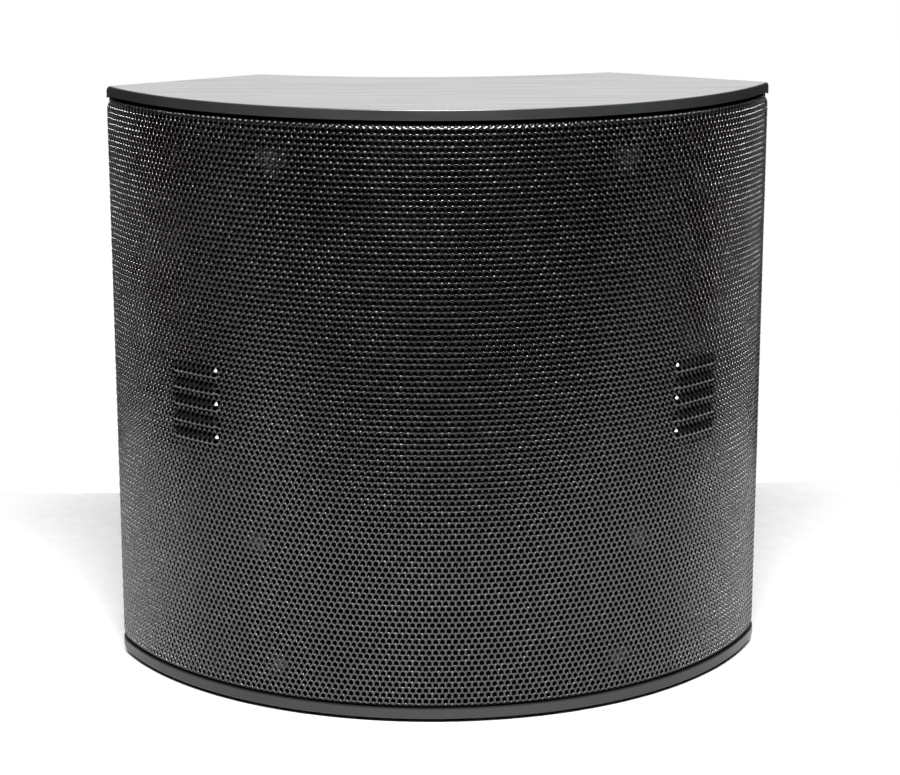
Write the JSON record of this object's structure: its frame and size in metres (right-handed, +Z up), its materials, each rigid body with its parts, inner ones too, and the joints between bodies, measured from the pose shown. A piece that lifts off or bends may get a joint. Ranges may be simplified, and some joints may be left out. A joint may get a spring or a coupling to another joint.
{
  "type": "active subwoofer",
  "caption": "Active subwoofer with a bowed perforated metal grille, a thin wrap-around shell, finger ridges on both flanks and a dished back holding a plate amplifier.",
  "frame": {"origin": "centre of the footprint on the surface that the feet stand on", "axes": "+Z up, the bowed grille faces -Y, +X to the right seen from the front"},
  "size_m": [0.4962, 0.2389, 0.444],
  "materials": {
    "shell_paint": "satin black coat",
    "grille_paint": "satin black powder coat",
    "board": "black stained fibreboard",
    "raw_board": "bare fibreboard",
    "wadding": "polyester wadding",
    "rubber": "matt",
    "basket_paint": "textured black",
    "zinc_steel": "zinc plated",
    "dark_steel": "black oxide",
    "ferrite": "ground ferrite",
    "cone_paper": "pressed black pulp",
    "cap_plastic": "polished",
    "kapton": "amber film",
    "copper": "enamelled copper wire",
    "spider_cloth": "resin-stiffened cloth",
    "phenolic": "phenolic board",
    "black_plastic": "moulded",
    "plate_paint": "black anodised plate",
    "sink_metal": "black anodised extrusion",
    "tray_plastic": "moulded tray",
    "pcb": "green solder mask",
    "capacitor_sleeve": "shrink sleeve",
    "toroid_tape": "polyester tape",
    "knob_plastic": "fine satin",
    "nickel": "nickel plated",
    "jack_colour": "moulded",
    "glass_fuse": "clear",
    "led_lens": "tinted translucent"
  },
  "bodies": {
    "cabinet": {"outer_shell": "shell_paint", "front_baffle": "board", "back_panel": "board", "front_battens": "raw_board", "rear_battens": "raw_board", "brace_shelf": "raw_board", "damping_pads": "wadding", "peg_cups": "rubber", "woofer_basket": "basket_paint", "woofer_top_plate": "dark_steel", "woofer_magnet": "ferrite", "woofer_yoke": "dark_steel", "woofer_surround": "rubber", "woofer_spider": "spider_cloth", "woofer_gasket": "rubber", "woofer_screws": "dark_steel", "terminal_strip": "phenolic", "terminal_tags": "zinc_steel", "port_tubes": "black_plastic", "port_flares": "black_plastic", "amp_plate": "plate_paint", "amp_tray": "tray_plastic", "amp_screws": "dark_steel", "heatsink": "sink_metal", "power_board": "pcb", "board_posts": "zinc_steel", "capacitors": "capacitor_sleeve", "power_devices": "black_plastic", "transformer": "toroid_tape", "transformer_washers": "zinc_steel", "transformer_bolt": "dark_steel", "pots": "black_plastic", "pot_nuts": "nickel", "switch_frames": "black_plastic", "rocker_bezel": "black_plastic", "jack_panel": "black_plastic", "jack_barrels": "nickel", "jack_inserts": "jack_colour", "power_inlet": "black_plastic", "inlet_pins": "nickel", "inlet_screws": "dark_steel", "status_lens": "led_lens", "feet": "rubber", "foot_screws": "zinc_steel", "back_screws": "dark_steel"},
    "grille_unit": {"grille": "grille_paint", "grille_pegs": "dark_steel"},
    "cone_unit": {"woofer_cone": "cone_paper", "woofer_dust_cap": "cap_plastic", "coil_former": "kapton", "coil_winding": "copper"},
    "volume": {"volume_knob": "knob_plastic", "volume_shaft": "zinc_steel"},
    "crossover": {"crossover_knob": "knob_plastic", "crossover_shaft": "zinc_steel"},
    "phase_slider": {"phase_lever": "knob_plastic"},
    "auto_slider": {"auto_lever": "knob_plastic"},
    "rocker": {"power_rocker": "knob_plastic"},
    "fuse_holder": {"fuse_drawer": "black_plastic", "fuse": "glass_fuse"}
  },
  "joints": [
    {"name": "grille_lift_off", "type": "slide", "parent": "cabinet", "child": "grille_unit", "axis": [0, -1, 0], "range_m": [0, 0.06]},
    {"name": "cone_travel", "type": "slide", "parent": "cabinet", "child": "cone_unit", "axis": [0, -1, 0], "range_m": [-0.008, 0.008], "stiffness_N_per_m": 2400, "deforming": ["woofer_surround", "woofer_spider"]},
    {"name": "volume_turn", "type": "hinge", "parent": "cabinet", "child": "volume", "pos_m": [0.05, 0.0885, 0.254], "axis": [0, 1, 0], "range_deg": [-150, 150]},
    {"name": "crossover_turn", "type": "hinge", "parent": "cabinet", "child": "crossover", "pos_m": [0.008, 0.0885, 0.254], "axis": [0, 1, 0], "range_deg": [-150, 150]},
    {"name": "phase_slide", "type": "slide", "parent": "cabinet", "child": "phase_slider", "axis": [1, 0, 0], "range_m": [0, 0.004]},
    {"name": "auto_slide", "type": "slide", "parent": "cabinet", "child": "auto_slider", "axis": [1, 0, 0], "range_m": [-0.003, 0.003]},
    {"name": "power_rock", "type": "hinge", "parent": "cabinet", "child": "rocker", "pos_m": [-0.066, 0.0865, 0.205], "axis": [-1, 0, 0], "range_deg": [0, 20]},
    {"name": "fuse_slide", "type": "slide", "parent": "cabinet", "child": "fuse_holder", "axis": [0, 1, 0], "range_m": [0, 0.021]}
  ]
}
